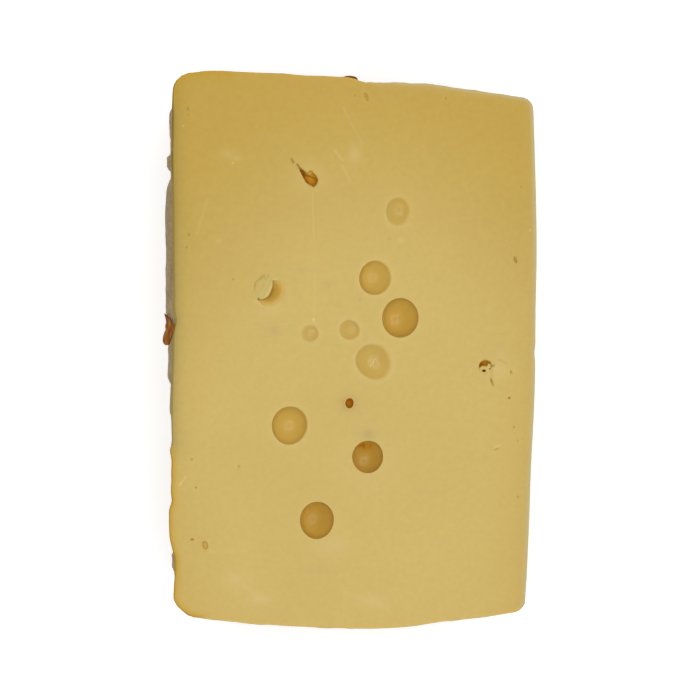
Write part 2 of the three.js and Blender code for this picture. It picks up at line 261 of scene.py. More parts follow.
def side_rings():
    """Rings from the face over its rounded edge and down to the base: the outline moved in, out and down."""
    turn = np.linspace(0, math.pi / 2, EDGE_RINGS)[:, None]
    edge_round = blend(RIND_EDGE_ROUND, KNIFE_EDGE_ROUND, soft_side)
    top = FACE_HEIGHT - FACE_SLOPE * outline[:, 0]
    upper = np.linspace(0, 1, UPPER_RINGS + 1)[1:, None]
    share = np.linspace(1, 0, LOWER_RINGS + 1)[1:, None]
    levels = np.concatenate([
        top - edge_round * (1 - np.cos(turn)),
        top - blend(edge_round, UPPER_DEPTH, upper),
        edge_round + share * (top - UPPER_DEPTH - edge_round),
        edge_round * (1 - np.sin(turn[1:])),
    ])
    insets = np.zeros_like(levels)
    insets[: len(turn)] = edge_round * (1 - np.sin(turn))
    insets[-len(turn) + 1:] = edge_round * (1 - np.cos(turn[1:]))
    plan = outline + outward * (stand_out(top - levels) - insets)[..., None]
    plan[0] = outline - outward * edge_round[:, None]
    rings = np.dstack([plan, levels])
    rings[0, :, 2] = face_level(*plan[0].T)
    over_edge = np.minimum(np.arange(len(levels)) / (len(turn) - 1), 1)
    return rings, np.sin(over_edge * math.pi / 2)[:, None]


side, over_edge = side_rings()
mouth_of_side = side[0, :, :2]

# ---------------------------------------------------------------------------
# The eyes: gas bubbles that the culture blew in the young cheese, cut open by the knife at different heights.
# Their walls are smooth and oily. Each is the part of a slightly uneven ball that lies under the face.
TILT = math.atan(FACE_SLOPE)
COLLAR = 0.3
# Each eye: mouth centre and half-sizes, wall angle at the mouth, skew as a share and its direction, lip
# rounding on the left and right, how far its floor lies off its middle, and how pale the face is round it.
Eye = namedtuple("Eye", "at half wall skew lips drift pale")
EYES = (
    Eye((9.6, 27.8), (2.43, 2.87), 46, (0.02, 60), (0.15, 0.7), (0.1, 0.2), 0.12),
    Eye((5.0, 14.45), (3.12, 3.5), 72, (0.02, 20), (0.12, 0.6), (-0.45, 0), 0.15),
    Eye((10.1, 6.45), (3.65, 3.95), 92, (0.01, 45), (0.1, 0.15), (-0.9, -0.4), 0.1),
    Eye((-0.1, 4.0), (2.1, 2.05), 50, (0.02, 120), (0.15, 0.5), (0.3, 0.1), 0.15),
    Eye((4.65, -2.35), (3.54, 3.62), 50, (0.05, 135), (0.2, 0.9), (0, 0), 0.15),
    Eye((-12.05, -15.05), (3.49, 3.85), 76, (0.02, 30), (0.12, 0.45), (0, 0), 0.15),
    Eye((-6.6, -34.0), (3.41, 3.63), 98, (0.02, 80), (0.1, 0.12), (-0.7, 0.2), 0.1),
    Eye((3.55, -21.4), (3.0, 3.28), 108, (0.02, 10), (0.1, 0.12), (-0.5, -0.9), 0.1),
    Eye((-0.1, -10.65), (0.82, 0.98), 112, (0.03, 60), (0.06, 0.06), (0, 0), 0),
    Eye((-8.0, 3.3), (1.76, 1.84), 42, (0.02, 0), (0.2, 0.4), (0.3, 0), 0.1),
)
SPARKLING_EYE = 4
RAGGED_EYE = 7
STAINED_EYE = 8
# Painted shade: how umber the middle of the floor is painted in the shallow and in the deep eyes.
FLOOR_SHADE = (0.12, 0.32)


def ring_turn(count):
    """Even angles once round, anticlockwise."""
    return np.arange(count) * (2 * math.pi / count)


def sunk(centre, offset, depth):
    """Points at an offset from a place on the face, sunk along the face's own inward direction."""
    plan = np.asarray(centre) + offset
    x, y = plan[..., 0], plan[..., 1]
    z = face_level(x, y)
    return np.stack([x - depth * math.sin(TILT), y, z - depth * math.cos(TILT)], axis=-1)


def eye_rings(at, half, wall, skew, lips, drift):
    """A ball's rings from its collar to its floor: radius as the sine, depth as the cosine of the angle."""
    turn = ring_turn(76 if half[0] > 1.5 else 40)
    share, direction = skew
    uneven = np.cos(2 * (turn - math.radians(direction))) + 0.4 * np.cos(3 * turn + direction)
    mouth = np.column_stack([half[0] * np.cos(turn), half[1] * np.sin(turn)]) * (1 + share * uneven)[:, None]
    reach = np.linalg.norm(mouth, axis=1)
    angle = math.radians(wall)
    ball = sum(half) / 2 / math.sin(angle)
    lip = blend(*lips, smooth(-0.6, 1.0, np.cos(turn)))
    lip = np.minimum(lip, 0.45 * reach)
    wall_start = angle - lip / ball
    start = 1 + lip / reach
    end_radius = np.sin(wall_start) / math.sin(angle)
    end_depth = ball * (np.cos(wall_start) - math.cos(angle))
    way = np.linspace(0, 1, 7)[:, None]
    radius = (1 - way) ** 2 * start + 2 * way * (1 - way) + way**2 * end_radius
    depth = way**2 * end_depth
    down = np.linspace(1, 0, 19)[1:, None] * wall_start
    radius = np.vstack([start + COLLAR / reach, radius, np.sin(down) / math.sin(angle)])
    depth = np.vstack([0 * reach, depth, ball * (np.cos(down) - math.cos(angle))])
    shift = np.array(drift) * smooth(0, 1, depth / depth.max())[..., None]
    return sunk(at, mouth * radius[..., None] + shift, depth)


def eye_tone(rings):
    """How far inside an eye a point is: nought on the face, one from a third of a millimetre down."""
    return smooth(0.03, 0.4, face_level(rings[..., 0], rings[..., 1]) - rings[..., 2])


def add_bowl(rings, hole, pale=0.0, golden=1.0, umber=0.0):
    """Keep one hollow's rings with its marks: how golden, brown and umber its walls are, and its pale rim."""
    tone = eye_tone(rings)
    even = 0 * tone
    shades = {"eye": golden * tone, "hole": hole + even, "pale": pale * (1 - tone), "umber": umber + even}
    bowls.append((rings, shades))


def shares_off(x, y, place):
    """How far points lie off a place, given by its middle and half-sizes, in shares of the half-sizes."""
    return np.hypot((x - place[0]) / place[2], (y - place[1]) / place[3])


def pale_rims(x, y):
    """How pale the face is at a point: a bell over the gap between it and the nearest eye's mouth."""
    pale = np.zeros_like(x)
    for eye in EYES:
        gap = np.maximum(shares_off(x, y, eye.at + eye.half) - 1, 0) * eye.half[0]
        pale = np.maximum(pale, eye.pale * bump(gap, 0, 0.9))
    return pale


bowls = []
for number, eye in enumerate(EYES):
    rings = eye_rings(*eye[:-1])
    tone = eye_tone(rings)
    # Painted shade: the deep eyes' walls are painted a little browner, and the middles of all floors umber,
    # most in the deep eyes.
    brown = tone * 0.12 * smooth(85, 100, eye.wall)
    across, along = ((rings[..., :2] - eye.at) / eye.half).transpose(2, 0, 1)
    umber = tone * blend(*FLOOR_SHADE, smooth(90, 98, eye.wall)) * smooth(0.9, 0.3, np.hypot(across, along))
    if number == SPARKLING_EYE:
        middle = rings[-1, 0]
        near = bump(np.linalg.norm(rings[..., :2] - middle[:2], axis=-1), 0, 0.9)
        rings[..., 2] += 0.09 * near * np.abs(lattice_noise(rings, 0.32, 5))
        rings[-1, :, 2] = rings[-1, :, 2].mean()
    if number == RAGGED_EYE:
        upper = tone * smooth(0.25, 0.6, along) * smooth(0.95, 0.7, along) * bump(across, -0.15, 0.6)
        streaks = lattice_noise(rings * (1.0, 0.35, 0.35), 0.36, 6)
        brown = brown + upper * (0.08 + 0.42 * smooth(-0.15, 0.45, streaks))
        umber = np.maximum(umber, 0.22 * upper)
        rings[..., 2] += 0.22 * upper * streaks
    if number == STAINED_EYE:
        brown = 0.76 * tone
        umber = 0 * tone
    add_bowl(rings, brown, eye.pale, blend(0.5, 1.0, smooth(40, 90, eye.wall)), umber)

# ---------------------------------------------------------------------------
# The broken eye: half its roof is still there as a thin flap, and the knife opened a crescent beside it.
# The hollow runs on under the flap, out to the whole ball of the eye.
BROKEN_AT = (-16.1, 11.8)
BROKEN_RADIUS = 2.75
BROKEN_DEPTH = 1.8
FLAP_THICK = 0.35
CRESCENT = (
    (-15.45, 13.78), (-15.39, 12.75), (-15.83, 11.47), (-16.21, 10.75), (-16.62, 10.41), (-17.12, 10.21),
    (-17.83, 10.03), (-18.19, 10.4), (-18.3, 10.0), (-17.61, 9.35), (-16.8, 9.08), (-15.83, 9.02),
    (-14.9, 9.38), (-14.05, 10.24), (-13.5, 11.1), (-13.29, 12.1), (-13.5, 12.9), (-14.1, 13.55),
    (-14.9, 13.92),
)
CRESCENT_HEART = (-14.75, 10.9)
# The way in which the hollow lies open, where its edge is worn soft.
CRESCENT_OPEN = (0.87, -0.5)


def closed_run(points, count, rounding=2):
    """A closed chain of corners, rounded a little and stepped round at even lengths, anticlockwise."""
    corners = np.asarray(points, float)
    for _ in range(rounding):
        after = np.roll(corners, -1, axis=0)
        corners = np.stack([0.8 * corners + 0.2 * after, 0.2 * corners + 0.8 * after], axis=1).reshape(-1, 2)
    loop = np.vstack([corners, corners[:1]])
    length = np.concatenate([[0], np.cumsum(np.linalg.norm(np.diff(loop, axis=0), axis=1))])
    at = np.arange(count) * (length[-1] / count)
    return np.column_stack([np.interp(at, length, loop[:, 0]), np.interp(at, length, loop[:, 1])])


def broken_rings():
    """From the crescent straight down, out to the ball's own circle under the flap, and in over its floor.

    The floor sinks as half a cosine wave, from the flap's underside or from the worn edge to the middle.
    """
    mouth = closed_run(CRESCENT, 110)
    middle = np.array(BROKEN_AT)
    away = mouth - np.array(CRESCENT_HEART)
    turn = np.maximum.accumulate(np.unwrap(np.arctan2(away[:, 1], away[:, 0])))
    turn = blend(turn, turn[0] + ring_turn(len(mouth)), 0.15)
    ball = middle + np.column_stack([np.cos(turn), np.sin(turn)]) * BROKEN_RADIUS
    reach = np.linalg.norm(mouth - middle, axis=1)[:, None]
    ball = blend(mouth, ball, np.clip((BROKEN_RADIUS * 0.97 - reach) / 0.8, 0, 1))
    away /= np.linalg.norm(away, axis=1)[:, None]
    off = ball - middle
    soft = smooth(-0.3, 0.5, off @ np.array(CRESCENT_OPEN) / np.linalg.norm(off, axis=1))[:, None]
    worn = np.linspace(0.5, 0.4, 6)[:, None, None] * soft * away
    under = np.array([0.0, 0.0, 0.0, 0.25, 0.7, 1.0])[:, None, None]
    steep = 1 - 0.94 * soft[:, 0]
    lip = np.array([0.0, 0.06, 0.15, 0.22, 0.3, FLAP_THICK])[:, None] * steep
    upper = sunk(middle, blend(mouth, ball, under) + worn - middle, lip)
    way = np.linspace(0, 1, 21)[1:, None]
    radius = 1 - way[..., None]
    fall = (1 - np.cos(math.pi * way)) / 2
    lower = sunk(middle, (off + worn[-1] * radius) * radius, blend(FLAP_THICK * steep, BROKEN_DEPTH, fall))
    return np.concatenate([upper, lower])


add_bowl(broken_rings(), 0.1)

# ---------------------------------------------------------------------------
# Pits and cracks: small gaps where the curd did not knit, opened by the knife, with browner, drier walls.
# Each pit is half a flattened ball, and the crack is a ragged hollow with a tail and a slit beside its tip.
# Pits: centre, half-sizes, turn in radians, depth and how dark.
PITS = (
    (3.3, 50.7, 0.35, 0.85, 0.3, 0.35, 0.02),
    (33.4, 18.2, 0.35, 0.7, 0.3, 0.4, 0.05),
    (-28.75, -38.75, 0.6, 0.9, 0.2, 0.4, 0.02),
    (-31.3, -37.6, 0.4, 0.25, 0.0, 0.28, 0.07),
    (28.65, -6.5, 0.25, 0.95, 0.35, 0.3, 0.05),
    (-32.1, 47.8, 0.2, 0.4, 0.3, 0.2, 0.05),
    (-32.0, 22.9, 0.22, 0.3, 0.0, 0.22, 0.06),
    (-32.4, 20.35, 0.15, 0.2, 0.0, 0.16, 0.05),
    (-31.4, -21.7, 0.22, 0.22, 0.0, 0.22, 0.06),
    (-30.55, -27.3, 0.2, 0.2, 0.0, 0.2, 0.05),
    (-22.05, -23.2, 0.25, 0.25, 0.0, 0.2, 0.05),
    (-23.15, 14.1, 0.25, 0.2, 0.0, 0.15, 0.03),
    (-32.05, 46.6, 0.15, 0.15, 0.0, 0.12, 0.03),
    (1.0, 50.9, 0.15, 0.15, 0.0, 0.12, 0.03),
    (19.3, 50.6, 0.18, 0.2, 0.0, 0.12, 0.03),
    (34.6, 32.9, 0.15, 0.2, 0.0, 0.12, 0.04),
    (7.9, 22.35, 0.4, 0.3, 0.2, 0.1, 0.0),
    (2.0, 10.1, 0.15, 0.15, 0.0, 0.08, 0.0),
    (32.5, -4.5, 0.22, 0.4, 0.4, 0.22, 0.06),
    (32.15, -9.7, 0.3, 0.28, 0.0, 0.32, 0.06),
    (33.1, -15.6, 0.2, 0.25, 0.5, 0.2, 0.05),
    (33.8, -18.3, 0.15, 0.25, 0.3, 0.15, 0.04),
    (34.8, -17.9, 0.12, 0.15, 0.3, 0.12, 0.03),
    (33.9, -29.7, 0.2, 0.3, 0.5, 0.2, 0.05),
    (29.55, -20.02, 0.55, 0.16, 0.42, 0.18, 0.05),
)
CRACK_MOUTH = (
    (-10.05, 35.8), (-9.4, 34.5), (-8.7, 33.3), (-7.8, 32.8), (-7.2, 32.45),
    (-6.65, 33.1), (-6.3, 33.9), (-6.6, 34.75), (-7.25, 35.35), (-7.6, 35.75),
    (-8.15, 35.85), (-8.45, 35.3), (-8.85, 35.55), (-9.45, 36.05), (-10.85, 37.6),
)
CRACK_HEART = (-7.9, 34.1)
CRACK_DEPTH = 2.2
# The ledge's middle and half-sizes, and the dark wall's start and the way square to it into the crack.
CRACK_LEDGE = (-8.0, 35.4, 0.7, 0.42)
CRACK_WALL = ((-10.05, 35.8), (0.88, 0.475))
CRACK_FOLD = 32.15
# The slit: both ends and the width at the middle.
SLIT = ((-11.8, 38.4), (-11.1, 37.1), 0.22)


def pit_rings(x, y, rx, ry, turn, depth):
    """Half a flattened ball: its mouth drawn in as the cosine and sunk as the sine of the way down."""
    angle = ring_turn(18)
    mouth = np.column_stack([rx * np.cos(angle), ry * np.sin(angle)])
    mouth = mouth @ np.array([[math.cos(turn), math.sin(turn)], [-math.sin(turn), math.cos(turn)]])
    way = np.linspace(0, math.pi / 2, 7)[:, None]
    radius = np.vstack([1.0 + 0.12 / rx + 0 * angle, np.cos(way) + 0 * angle])
    sink = np.vstack([0 * angle, depth * np.sin(way) + 0 * angle])
    return sunk((x, y), mouth * radius[..., None], sink)


def torn_rings(mouth, centre, depth, steep, count=14):
    """A hollow with any mouth: as it draws in, it sinks as the root of one less its reach to a power."""
    reach = 1 - np.linspace(0, 1, count)[:, None] ** 1.6 + 0 * mouth[:, 0]
    return sunk(centre, (mouth - centre) * reach[..., None], depth * np.sqrt(1 - reach**steep))


for *shape, dark in PITS:
    rings = pit_rings(*shape)
    tone = eye_tone(rings)
    add_bowl(rings, 0.08 * tone, umber=(0.05 + 6 * dark) * tone)


def crack_rings():
    """The crack's torn hollow with a fold and a shallow tail and ledge, then how brown and light it is."""
    rings = torn_rings(closed_run(CRACK_MOUTH, 104), np.array(CRACK_HEART), CRACK_DEPTH, 6, 20)
    x, y = rings[..., 0], rings[..., 1]
    light = np.maximum(smooth(35.6, 36.3, y), bump(shares_off(x, y, CRACK_LEDGE), 0, 1))
    depth = (face_level(x, y) - rings[..., 2]) * (1 - 0.75 * light)
    shade = smooth(0.2, 1.6, depth)
    torn = lattice_noise(rings * (1, 1, 0.4), 0.8, 8)
    fold = bump(y + 0.35 * x, CRACK_FOLD, 0.22) * shade
    rings[1:-1, :, 2] = (face_level(x, y) - depth + 0.25 * shade * torn + 0.7 * fold)[1:-1]
    dark = bump((rings[..., :2] - CRACK_WALL[0]) @ np.array(CRACK_WALL[1]), 0.1, 0.35)
    return rings, eye_tone(rings) * (0.3 + 0.5 * dark + 0.08 * torn) * (1 - 0.85 * light), light


crack, crack_brown, crack_light = crack_rings()
add_bowl(crack, crack_brown, umber=0.08 * eye_tone(crack) * (1 - crack_light))

slit_start, slit_end = np.array(SLIT[0]), np.array(SLIT[1])
slit_across = np.array([slit_start[1] - slit_end[1], slit_end[0] - slit_start[0]])
slit_across *= SLIT[2] / 2 / np.linalg.norm(slit_across)
slit_middle = (slit_start + slit_end) / 2
slit_mouth = closed_run((slit_start, slit_middle - slit_across, slit_end, slit_middle + slit_across), 28)
slit = torn_rings(slit_mouth, slit_middle, 0.25, 4)
add_bowl(slit, 0.0, golden=0.8, umber=0.4 * eye_tone(slit))

# ---------------------------------------------------------------------------
# The crumbled eye: a small eye near the knife-cut side, whose roof has broken up.
# Pale crumbs of it lie fused to the brown floor.
CRUMBLED_MOUTH = (
    (26.09, -3.83), (26.39, -4.39), (26.9, -4.67), (27.4, -4.67), (27.91, -4.43), (28.34, -4.03),
    (28.55, -3.6), (29.3, -3.12), (29.2, -2.96), (28.65, -3.06), (28.54, -2.58), (28.14, -2.22),
    (27.61, -2.06), (27.02, -2.06), (26.49, -2.28), (26.11, -2.72), (25.98, -3.22),
)
CRUMBLED_MIDDLE = (27.3, -3.35)
CRUMBLED_DEPTH = 1.7
# Crumbs: place, half-sizes and how far under the face their tops lie.
CRUMBS = ((27.05, -4.0, 1.15, 1.0, 0.08), (28.02, -3.25, 0.42, 0.58, 0.03), (27.9, -4.2, 0.7, 0.4, 0.05))
# Painted shade: the deepest spot, which is sunk and painted near black.
DEEPEST_SHADED_SPOT = (27.02, -4.18, 0.36, 0.24)


def crumbled_rings():
    """A torn hollow whose floor rises to the round tops of its crumbs, then its brown with the painted shade
    of its deepest spot, its crumbs and its tail.
    """
    rings = torn_rings(closed_run(CRUMBLED_MOUTH, 72, 1), np.array(CRUMBLED_MIDDLE), CRUMBLED_DEPTH, 2.5, 26)
    x, y = rings[..., 0], rings[..., 1]
    shallow = smooth(27.9, 28.6, x)
    depth = (face_level(x, y) - rings[..., 2]) * blend(1.0, 0.3, shallow)
    crumbs = np.zeros_like(depth)
    for *place, top in CRUMBS:
        off = shares_off(x, y, place)
        crumb = 1 - smooth(0.8, 1.05, off + 0.1 * lattice_noise(rings, 0.35, 11))
        depth = np.where(depth > top, blend(depth, top + 0.1 * off**2, crumb), depth)
        crumbs = np.maximum(crumbs, crumb)
    # The deepest spot is painted near black as shade.
    shaded_spot = smooth(1.2, 0.8, shares_off(x, y, DEEPEST_SHADED_SPOT))
    rings[1:-1, :, 2] = (face_level(x, y) - depth - 0.6 * shaded_spot)[1:-1]
    deeper = smooth(-2.3, -3.1, y + 0.3 * (x - 27)) * smooth(27.4, 26.5, x)
    brown = smooth(0.15, 1.1, depth) * (1 - crumbs) * (1 - shallow) * blend(0.4, 0.75, deeper)
    return rings, np.maximum(brown, shaded_spot), crumbs, shallow


crumbled, crumbled_brown, crumbled_pale, crumbled_tail = crumbled_rings()
add_bowl(crumbled, crumbled_brown, golden=1 - crumbled_pale, umber=0.3 * crumbled_tail * eye_tone(crumbled))

# ---------------------------------------------------------------------------
# The upper cut face itself: the paste between the mouths, filled in as a fine net of triangles.


def inside(points, polygon):
    """Whether points lie in a closed polygon, by counting the edges that a line to the right crosses."""
    hit = np.zeros(len(points), bool)
    low, high = polygon.min(axis=0), polygon.max(axis=0)
    near = np.nonzero(np.all((points > low) & (points < high), axis=1))[0]
    x, y = points[near].T[:, :, None]
    after = np.roll(polygon, -1, axis=0)
    spans = (polygon[:, 1] > y) != (after[:, 1] > y)
    rise = np.where(after[:, 1] == polygon[:, 1], 1, after[:, 1] - polygon[:, 1])
    crossing = polygon[:, 0] + (y - polygon[:, 1]) * (after[:, 0] - polygon[:, 0]) / rise
    hit[near] = np.sum(spans & (x < crossing), axis=1) % 2 == 1
    return hit


def honeycomb(step, low, high):
    """The corners of even triangles: rows a root of three quarters apart, every second one moved."""
    rows = np.arange(low[1], high[1], step * math.sqrt(0.75))
    columns = np.arange(low[0], high[0], step)
    x, y = np.meshgrid(columns, rows)
    x = x + (np.arange(len(rows)) % 2)[:, None] * step / 2
    return np.column_stack([x.ravel(), y.ravel()])


def grown(ring, distance):
    """A closed ring moved outwards by a distance, square to its own run."""
    run = np.roll(ring, -1, axis=0) - np.roll(ring, 1, axis=0)
    return ring + np.column_stack([run[:, 1], -run[:, 0]]) / np.linalg.norm(run, axis=1)[:, None] * distance


def face_net(edge, mouths, spread, gap):
    """Triangles between an edge and the mouths in it: a Delaunay net over the rings and spread points."""
    spread = spread[inside(spread, grown(edge, -gap))]
    for mouth in mouths:
        spread = spread[~inside(spread, mouth) & ~inside(spread, grown(mouth, gap))]
    rings = [edge] + list(mouths)
    first = np.cumsum([0] + [len(ring) for ring in rings])
    points = np.vstack(rings + [spread])
    edges = np.vstack([
        start + np.column_stack([np.arange(len(ring)), np.roll(np.arange(len(ring)), -1)])
        for start, ring in zip(first, rings)
    ])
    made = delaunay_2d_cdt([Vector(p) for p in points.tolist()], edges.tolist(), [], 0, 1e-7, True)
    source = np.array([ids[0] for ids in made[3]])
    triangles = source[np.array(made[2])]
    centres = points[triangles].mean(axis=1)
    keep = inside(centres, edge)
    for mouth in mouths:
        keep &= ~inside(centres, mouth)
    return points, triangles[keep], first


# The net is finer over the flap and the flake: the middle and reach of each such place.
FINE_STEP = 0.2
FINE_PLACES = ((FLAP[0], 3.3), (FLAKE[0], 1.5))
spread = honeycomb(NET_STEP, outline.min(axis=0), outline.max(axis=0))
for place, reach in FINE_PLACES:
    place = np.array(place)
    fine = honeycomb(FINE_STEP, place - reach, place + reach)
    spread = np.vstack([
        spread[np.linalg.norm(spread - place, axis=1) > reach + 0.2],
        fine[np.linalg.norm(fine - place, axis=1) < reach],
    ])
mouths = [rings[0, :, :2] for rings, _ in bowls]
net_points, net_triangles, ring_starts = face_net(mouth_of_side, mouths, spread, 0.12)
net = np.column_stack([net_points, face_level(*net_points.T)])


def near_edge(stretch, reach):
    """How close the net's points are to a stretch of the outline: e to the minus distance over reach."""
    parts = np.array_split(net_points, 60)
    gaps = [np.linalg.norm(part[:, None] - outline[stretch], axis=2).min(axis=1) for part in parts]
    return np.exp(-np.concatenate(gaps) / reach)


# Where the knife smeared the paste and it is painted paler, partly its own colour and partly painted sheen,
# and where it is dull: middle, half-sizes and strength.
PALE_SMEARS_AND_SHEEN = (
    (-24.3, 38.9, 1.7, 1.2, 0.2), (-22.6, 38.0, 1.2, 0.8, 0.2), (0.9, 39.1, 1.3, 1.9, 0.4),
    (10.2, 21.9, 0.8, 0.7, 0.25), (-22.7, -45.7, 3.4, 2.0, 0.25), (-3.6, -39.2, 4.2, 2.6, 0.25),
    (29.9, -4.0, 3.2, 2.3, 0.3), (30.4, -1.0, 1.6, 1.3, 0.25), (-8.2, 34.6, 3.6, 3.2, 0.25),
    (-15.2, 8.0, 3.4, 1.4, 0.2), (3.5, -22.0, 7.0, 7.5, 0.15), (-26.0, 21.6, 0.5, 0.4, 0.5),
    (-18.3, -49.7, 2.2, 0.9, 0.4), (4.5, -50.0, 3.0, 1.6, 0.3),
)
DULL_SPOTS = (
    (-4.67, 12.9, 1.2, 1.1, 0.5), (-15.2, 3.72, 1.7, 1.5, 0.55), (3.6, -16.9, 1.5, 1.3, 1.0),
    (-0.1, -10.65, 1.9, 1.9, 1.0), (30.6, -0.1, 2.0, 1.4, 0.3), (-6.5, -44.0, 4.4, 0.8, 0.25),
)
# Where the fat has oozed golden at the face's corner and round the stained eye.
AMBER_SPOTS = (
    (-34.9, 52.9, 1.3, 1.0, 0.9), (-31.0, 54.6, 3.0, 0.7, 0.4), (-27.0, 54.9, 3.0, 0.7, 0.4),
    (-0.3, -10.7, 1.4, 1.4, 0.3),
)


def patches(x, y, places):
    """Soft patches: each is a bell over the distance from its middle in shares of its half-sizes."""
    share = np.zeros_like(x)
    for *place, strength in places:
        share = np.maximum(share, strength * bump(shares_off(x, y, place), 0, 0.85))
    return share


# ---------------------------------------------------------------------------
# One closed surface: the net, the bowls that hang from its mouths, the side, and the flat base.


def ring_faces(rings, turned):
    """Four-sided faces between rings of point numbers, turned to face outwards."""
    after = np.roll(rings, -1, axis=1)
    faces = np.stack([rings[:-1], rings[1:], after[1:], after[:-1]], axis=-1).reshape(-1, 4)
    return faces[:, ::-1] if turned else faces


points = [net]
quads = []
triangles = [net_triangles]
net_x, net_y = net_points.T
bare = np.zeros(len(net))
on_rim = rim_side > 0.5
rim_y = outline[:, 1]
flap_pale = on_flap(net_x, net_y) * (0.08 + 2.0 * flap_relief(net_x, net_y)) + 0.35 * on_flake(net_x, net_y)
amber_corner = near_edge((outline[:, 0] < -24) & (rim_y > 50), 1.1)
amber_rim = np.minimum(2.2 * near_edge((outline[:, 0] < -29) & (rim_y < -20), 0.45), 1)
marks = {
    "eye": [bare], "hole": [bare], "rind": [bare], "umber": [bare],
    "margin": [near_edge(on_rim & (rim_y > -20) & (rim_y < 51), 1.15)],
    "warm": [0.6 * near_edge(rind_side < 0.5, 4.0)],
    # Pale: rims round the eyes, the flap and the flake, and smears that are partly painted sheen.
    "pale": [np.maximum(np.maximum(pale_rims(net_x, net_y), patches(net_x, net_y, PALE_SMEARS_AND_SHEEN)), flap_pale)],
    "dull": [patches(net_x, net_y, DULL_SPOTS)],
    "amber": [np.maximum(0.9 * np.maximum(amber_corner, amber_rim), patches(net_x, net_y, AMBER_SPOTS))],
    "dry": [0.6 * near_edge(soft_side > 0.5, 0.7)],
}
total = len(net)


def add_points(new, **shares):
    """Append points and their marks, and return their numbers in the same grid."""
    global total
    flat = new.reshape(-1, 3)
    points.append(flat)
    for name, column in marks.items():
        column.append(np.broadcast_to(shares.get(name, 0.0), new.shape[:-1]).ravel())
    numbers = total + np.arange(len(flat)).reshape(new.shape[:-1])
    total += len(flat)
    return numbers


for (rings, shades), start in zip(bowls, ring_starts[1:]):
    lower = add_points(rings[1:-1], **{name: shade[1:-1] for name, shade in shades.items()})
    mouth = start + np.arange(rings.shape[1])
    quads.append(ring_faces(np.vstack([mouth, lower]), True))
    bottom = add_points(rings[-1:].mean(axis=1), **{name: shade[-1].mean() for name, shade in shades.items()})
    last = lower[-1]
    triangles.append(np.column_stack([last, np.roll(last, -1), np.full(len(last), bottom[0])]))

# The cut edge dries to a brown line before the rind begins, most of all high up the rim and in its notch.
# At both corners of the rim the line stays golden, where fat oozed out of the paste.
NOTCH = 5.1
upper_corner = smooth(-22, -28, outline[:, 0]) * smooth(32, 35, rim_y)
lower_corner = smooth(-28, -32, outline[:, 0]) * smooth(-18, -22, rim_y)
brown_rim = rim_side * np.maximum(np.maximum(upper_corner, 0.3), 0.9 * bump(rim_y, NOTCH, 0.5))
brown_run = np.where(rim_y < 0, np.minimum(brown_rim + 0.4 * lower_corner, 0.4), brown_rim)
over = over_edge[1:]
under_face = FACE_HEIGHT - FACE_SLOPE * side[1:, :, 0] - side[1:, :, 2]
edge_dry = blend(1, 0.25, smooth(1.2, 4.5, under_face))
side_numbers = add_points(
    side[1:],
    rind=rind_side * smooth(0.8, 0.97, over),
    umber=rind_side * brown_run * smooth(0.0, 0.35, over),
    margin=rim_side * smooth(-22, -18, rim_y) * smooth(53, 50, rim_y),
    warm=0.6 * (1 - rind_side),
    amber=0.9 * np.maximum(upper_corner * (1 - rim_side), lower_corner),
    dry=soft_side * smooth(1.0, 0.3, over) * 0.6 + soft_side * smooth(0.3, 1.0, over) * edge_dry,
)
top_ring = np.arange(len(outline))
quads.append(ring_faces(np.vstack([top_ring, side_numbers]), False))

base_ring = side[-1, :, :2]
base_spread = honeycomb(3.0, base_ring.min(axis=0), base_ring.max(axis=0))
base_points, base_triangles, _ = face_net(base_ring, [], base_spread, 0.6)
base_numbers = np.concatenate([
    side_numbers[-1],
    add_points(np.column_stack([base_points[len(outline):], np.zeros(len(base_points) - len(outline))])),
])
triangles.append(base_numbers[base_triangles][:, ::-1])

vertices = np.vstack(points)
box_middle = (vertices[:, :2].max(axis=0) + vertices[:, :2].min(axis=0)) / 2
vertices[:, :2] -= box_middle


def make_piece(name, vertices, quads, triangles, marks={}):
    """A smooth-shaded mesh in metres from arrays in millimetres, with its marks as point attributes."""
    mesh = bpy.data.meshes.new(name)
    faces = [np.asarray(quads).reshape(-1, 4), np.asarray(triangles).reshape(-1, 3)]
    mesh.vertices.add(len(vertices))
    mesh.vertices.foreach_set("co", (vertices * MM).astype(np.float32).ravel())
    sizes = np.concatenate([np.full(len(f), f.shape[1]) for f in faces])
    corners = np.concatenate([f.ravel() for f in faces])
    mesh.loops.add(len(corners))
    mesh.loops.foreach_set("vertex_index", corners.astype(np.int32))
    mesh.polygons.add(len(sizes))
    mesh.polygons.foreach_set("loop_start", np.concatenate([[0], np.cumsum(sizes)[:-1]]).astype(np.int32))
    mesh.update(calc_edges=True)
    mesh.validate()
    for mark, values in marks.items():
        layer = mesh.attributes.new(mark, "FLOAT", "POINT")
        layer.data.foreach_set("value", np.asarray(values, np.float32))
    mesh.shade_smooth()
    piece = bpy.data.objects.new(name, mesh)
    bpy.context.scene.collection.objects.link(piece)
    return piece


slice_piece = make_piece(
    "cheese_slice", vertices, np.vstack(quads), np.vstack(triangles),
    {name: np.concatenate(column) for name, column in marks.items()},
)
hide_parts("cheese")
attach(slice_piece, "root")

# ---------------------------------------------------------------------------
# The finish of the slice: oily straw-yellow paste, brown dry walls in the holes, and grey-brown rind.


def nodes_of(name):
    """A new material with its node tree and the shader in it."""
    material = bpy.data.materials.new(name)
    material.use_nodes = True
    return material, material.node_tree, material.node_tree.nodes["Principled BSDF"]


def wire(tree, node, inputs):
    """A node's named inputs, each wired to a socket or set to a value."""
    for key, value in dict(inputs).items():
        if isinstance(value, bpy.types.NodeSocket):
            tree.links.new(value, node.inputs[key])
        else:
            node.inputs[key].default_value = value


